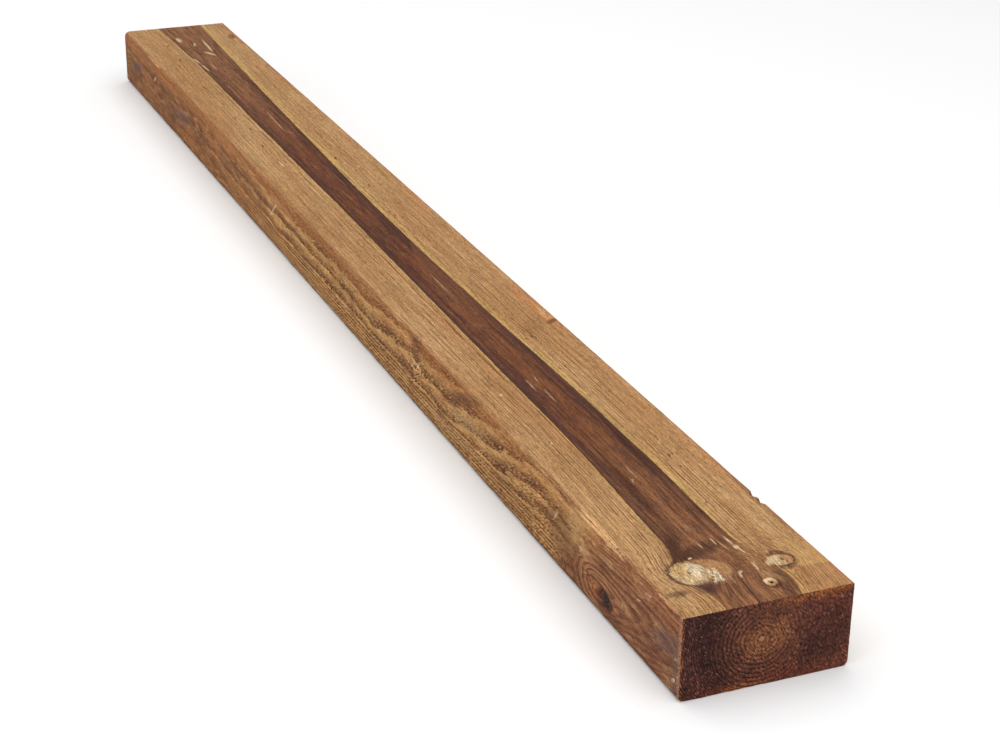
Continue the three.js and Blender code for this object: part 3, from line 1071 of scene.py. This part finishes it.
def only(piece):
    """Selects one object and nothing else."""
    bpy.ops.object.select_all(action="DESELECT")
    piece.select_set(True)
    bpy.context.view_layer.objects.active = piece


def cut_across(axis, places):
    """Bisects the mesh in edit mode with planes square to an axis, at places in millimetres."""
    normal = [0.0, 0.0, 0.0]
    normal[axis] = 1.0
    for place in places:
        point = [0.0, 0.0, 0.0]
        point[axis] = place * MM
        bpy.ops.mesh.select_all(action="SELECT")
        bpy.ops.mesh.bisect(plane_co=point, plane_no=normal)


def divide_along(piece, axis, start, stop, cuts):
    """Subdivides the edges that run along an axis between two places, in millimetres."""
    bpy.ops.mesh.select_all(action="DESELECT")
    bpy.ops.object.mode_set(mode="OBJECT")
    mesh = piece.data
    corners = np.empty(len(mesh.vertices) * 3)
    mesh.vertices.foreach_get("co", corners)
    corners = corners.reshape(-1, 3) / MM
    ends = np.empty(len(mesh.edges) * 2, dtype=int)
    mesh.edges.foreach_get("vertices", ends)
    first, second = corners[ends.reshape(-1, 2)].transpose(1, 0, 2)
    run = np.abs(second - first)
    middle = (first + second)[:, axis] / 2
    chosen = (run[:, axis] > 0.5 * run.sum(axis=1)) & (middle > start) & (middle < stop)
    mesh.edges.foreach_set("select", chosen)
    bpy.ops.object.mode_set(mode="EDIT")
    bpy.ops.mesh.subdivide(number_cuts=cuts)


def edge_cuts(half, steps):
    """The places of the close cuts beside both edges of a face."""
    return [side * (half - step) for step in steps for side in (-1, 1)]


# The close cuts beside the long edges, as distances from each face, and the spacing between them.
CLOSE_CUTS = (1.0, 2.2, 4.0, 7.0, 11.0)
ACROSS_SPACING = 3.3
ALONG_SPACING = 7.6
FINE_ALONG_SPACING = 3.2
FINE_LENGTH = 310.0
LONG_STRETCHES = 4


def timber_block():
    """A block of the timber's size, divided closely beside its edges and at the knotty end."""
    centre = [(low + high) / 2 for low, high in zip(LOW, HIGH)]
    size = [high - low for low, high in zip(LOW, HIGH)]
    bpy.ops.object.select_all(action="DESELECT")
    bpy.ops.mesh.primitive_cube_add(size=1.0, location=centre, scale=size)
    piece = bpy.context.object
    bpy.ops.object.transform_apply(location=True, rotation=True, scale=True)
    bpy.ops.object.mode_set(mode="EDIT")
    bpy.ops.mesh.select_mode(type="EDGE")

    widest = CLOSE_CUTS[-1]
    cut_across(1, edge_cuts(SIDE, CLOSE_CUTS))
    cut_across(2, [HEIGHT / 2 + place for place in edge_cuts(HEIGHT / 2, CLOSE_CUTS)])
    cut_across(0, edge_cuts(END, CLOSE_CUTS[:3]))
    divide_along(piece, 1, widest - SIDE, SIDE - widest, round((WIDTH - 2 * widest) / ACROSS_SPACING) - 1)
    divide_along(piece, 2, widest, HEIGHT - widest, round((HEIGHT - 2 * widest) / ACROSS_SPACING) - 1)

    fine_start = END - FINE_LENGTH
    plain_start = CLOSE_CUTS[2] - END
    stretch = (fine_start - plain_start) / LONG_STRETCHES
    starts = [plain_start + stretch * index for index in range(LONG_STRETCHES)]
    cut_across(0, [*starts[1:], fine_start])
    for start in starts:
        divide_along(piece, 0, start, start + stretch, round(stretch / ALONG_SPACING) - 1)
    divide_along(piece, 0, fine_start, END - CLOSE_CUTS[2], round(FINE_LENGTH / FINE_ALONG_SPACING) - 1)
    bpy.ops.object.mode_set(mode="OBJECT")
    return piece


def shape_timber(piece):
    """Rounds the block's edges and lays its relief with a geometry modifier, which is then applied."""
    group = bpy.data.node_groups.new("timber_shape", "GeometryNodeTree")
    group.interface.new_socket("Geometry", in_out="INPUT", socket_type="NodeSocketGeometry")
    group.interface.new_socket("Geometry", in_out="OUTPUT", socket_type="NodeSocketGeometry")
    start = group.nodes.new("NodeGroupInput")
    finish = group.nodes.new("NodeGroupOutput")
    shaped = shape_geometry(group, Value(group, start.outputs[0]))
    group.links.new(shaped.socket, finish.inputs[0])
    modifier = piece.modifiers.new("timber_shape", "NODES")
    modifier.node_group = group
    bpy.ops.object.modifier_apply(modifier=modifier.name)
    bpy.data.node_groups.remove(group)


# The strips of the baked picture, from its foot up, each with its share of the height.
STRIPS = {"ends": 0.166, "under": 0.166, "back": 0.147, "front": 0.186, "top": 0.322}
STRIP_GAP = 0.0026


def bake_map(piece):
    """Unwraps the faces as strips, so that the top face gets the most of a baked picture."""
    mesh = piece.data
    for layer in list(mesh.uv_layers):
        mesh.uv_layers.remove(layer)
    layer = mesh.uv_layers.new(name="OFBake")
    corners = np.empty(len(mesh.vertices) * 3)
    mesh.vertices.foreach_get("co", corners)
    owner = np.empty(len(mesh.loops), dtype=int)
    mesh.loops.foreach_get("vertex_index", owner)
    x, y, z = (corners.reshape(-1, 3) / MM)[owner].T
    along, across, up = (x + END) / LENGTH, (y + SIDE) / WIDTH, z / HEIGHT
    facing = np.empty(len(mesh.polygons) * 3)
    mesh.polygons.foreach_get("normal", facing)
    sides = np.empty(len(mesh.polygons), dtype=int)
    mesh.polygons.foreach_get("loop_total", sides)
    facing = np.repeat(facing.reshape(-1, 3), sides, axis=0)
    axis = np.abs(facing).argmax(axis=1)
    outward = np.take_along_axis(facing, axis[:, None], axis=1)[:, 0] > 0
    half = 0.5 - STRIP_GAP
    parts = {
        "ends": (axis == 0, across * half + np.where(outward, 0.0, 0.5 + STRIP_GAP), up),
        "under": ((axis == 2) & ~outward, along, across),
        "back": ((axis == 1) & outward, along, up),
        "front": ((axis == 1) & ~outward, along, up),
        "top": ((axis == 2) & outward, along, across),
    }
    places = np.zeros((len(owner), 2))
    foot = 0.0
    for name, share in STRIPS.items():
        chosen, right, above = parts[name]
        places[chosen] = np.stack((right, foot + above.clip(0.0, 1.0) * share), axis=1)[chosen]
        foot += share + STRIP_GAP
    layer.data.foreach_set("uv", places.ravel())


# ---------------------------------------------------------------- add-on


class TimberSettings(bpy.types.PropertyGroup):
    """What a user would change on the timber."""

    stain: bpy.props.FloatVectorProperty(
        name="Stain", description="Tint over the whole timber, white for the brown it is sold in",
        subtype="COLOR", size=3, default=(1.0, 1.0, 1.0), min=0.0, max=1.0,
    )
    roughness: bpy.props.FloatProperty(
        name="Roughness", description="How dull the sawn faces are", subtype="FACTOR",
        default=0.82, min=0.0, max=1.0,
    )


class StageSettings(bpy.types.PropertyGroup):
    """The floor, the lights and the camera."""

    floor_size: bpy.props.FloatProperty(
        name="Floor", description="Side of the floor", unit="LENGTH", default=60.0, min=1.0,
    )
    floor_colour: bpy.props.FloatVectorProperty(
        name="Floor Colour", description="Colour of the floor", subtype="COLOR", size=3,
        default=(0.9, 0.9, 0.9), min=0.0, max=1.0,
    )
    lens: bpy.props.FloatProperty(
        name="Lens", description="Focal length of the camera", unit="CAMERA", default=75.0, min=1.0,
    )


class SLEEPER_OT_timber(bpy.types.Operator):
    """Saw the timber, round its edges and stain it"""

    bl_idname = "sleeper.timber"
    bl_label = "Timber"

    def execute(self, context):
        piece = timber_block()
        piece.name = "sawn_timber"
        piece.data.name = "sawn_timber"
        shape_timber(piece)
        bake_map(piece)
        only(piece)
        bpy.ops.object.shade_smooth_by_angle(angle=math.radians(60))
        settings = context.scene.sleeper_timber
        piece.data.materials.append(timber_material(settings.stain, settings.roughness))
        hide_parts(NODE)
        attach(piece, "root")
        return {"FINISHED"}


# The camera's place in metres, the way it looks and the way to its right.
CAMERA_PLACE = (2.786, -0.972, 1.1745)
CAMERA_AHEAD = (-0.84008, 0.35497, -0.41021)
CAMERA_RIGHT = (0.38396, 0.92326, 0.01261)

# Soft lights: name, place, point lit, width, height and power.
LIGHTS = (
    ("overhead_light", (0.0, -0.2, 4.0), (0.0, 0.0, 0.0), 9.0, 6.0, 195.0),
    ("front_light", (1.6, -3.4, 1.7), (0.2, 0.0, 0.05), 3.0, 2.0, 22.0),
    ("end_light", (4.4, 0.6, 1.5), (1.0, 0.0, 0.05), 2.4, 1.8, 25.0),
)
WORLD_LIGHT = 0.55


def add_camera(lens):
    """The camera, looking down the length from beside the ring end."""
    data = bpy.data.cameras.new("camera")
    camera = bpy.data.objects.new("camera", data)
    bpy.context.scene.collection.objects.link(camera)
    ahead = Vector(CAMERA_AHEAD).normalized()
    right = Vector(CAMERA_RIGHT)
    right = (right - ahead * right.dot(ahead)).normalized()
    above = right.cross(ahead)
    turn = Matrix((right, above, -ahead)).transposed()
    camera.matrix_world = Matrix.Translation(CAMERA_PLACE) @ turn.to_4x4()
    data.lens = lens
    data.sensor_width = 36.0
    data.clip_end = 200.0
    bpy.context.scene.camera = camera


def add_light(name, place, target, width, height, power):
    """A rectangular soft light that faces a point."""
    data = bpy.data.lights.new(name, "AREA")
    data.shape = "RECTANGLE"
    data.size = width
    data.size_y = height
    data.energy = power
    light = bpy.data.objects.new(name, data)
    bpy.context.scene.collection.objects.link(light)
    light.location = place
    aim = Vector(target) - Vector(place)
    light.rotation_euler = aim.to_track_quat("-Z", "Y").to_euler()


def plain_material(name, colour, roughness):
    material = bpy.data.materials.new(name)
    material.use_nodes = True
    shader = material.node_tree.nodes["Principled BSDF"]
    shader.inputs["Base Color"].default_value = (*colour, 1.0)
    shader.inputs["Roughness"].default_value = roughness
    return material


class SLEEPER_OT_stage(bpy.types.Operator):
    """Lay the pale floor, hang the soft lights and set up the camera"""

    bl_idname = "sleeper.stage"
    bl_label = "Stage"

    def execute(self, context):
        settings = context.scene.sleeper_stage
        bpy.ops.object.select_all(action="DESELECT")
        bpy.ops.mesh.primitive_plane_add(size=settings.floor_size, location=(0.0, 0.0, LOW[2]))
        floor = context.object
        bpy.ops.object.transform_apply(location=True, rotation=True, scale=True)
        floor.name = "pale_floor"
        floor.data.materials.append(plain_material("pale_floor", settings.floor_colour, 0.9))
        world = bpy.data.worlds.new("soft_surround")
        world.use_nodes = True
        background = world.node_tree.nodes["Background"]
        background.inputs["Color"].default_value = (1.0, 1.0, 1.0, 1.0)
        background.inputs["Strength"].default_value = WORLD_LIGHT
        context.scene.world = world
        for light in LIGHTS:
            add_light(*light)
        add_camera(settings.lens)
        context.scene.view_settings.view_transform = "Standard"
        return {"FINISHED"}


class SLEEPER_PT_panel(bpy.types.Panel):
    """Lists what the add-on builds"""

    bl_label = "Railway Sleeper"
    bl_idname = "SLEEPER_PT_panel"
    bl_space_type = "VIEW_3D"
    bl_region_type = "UI"
    bl_category = "Sleeper"

    def draw(self, context):
        layout = self.layout
        scene = context.scene
        layout.prop(scene.sleeper_timber, "stain")
        layout.prop(scene.sleeper_timber, "roughness")
        layout.operator("sleeper.timber")
        layout.prop(scene.sleeper_stage, "floor_size")
        layout.prop(scene.sleeper_stage, "floor_colour")
        layout.prop(scene.sleeper_stage, "lens")
        layout.operator("sleeper.stage")


CLASSES = (TimberSettings, StageSettings, SLEEPER_OT_timber, SLEEPER_OT_stage, SLEEPER_PT_panel)


def register():
    for cls in CLASSES:
        bpy.utils.register_class(cls)
    bpy.types.Scene.sleeper_timber = bpy.props.PointerProperty(type=TimberSettings)
    bpy.types.Scene.sleeper_stage = bpy.props.PointerProperty(type=StageSettings)


def unregister():
    del bpy.types.Scene.sleeper_stage
    del bpy.types.Scene.sleeper_timber
    for cls in reversed(CLASSES):
        bpy.utils.unregister_class(cls)


def main():
    register()
    bpy.ops.sleeper.timber()
    bpy.ops.sleeper.stage()


if __name__ == "__main__":
    main()
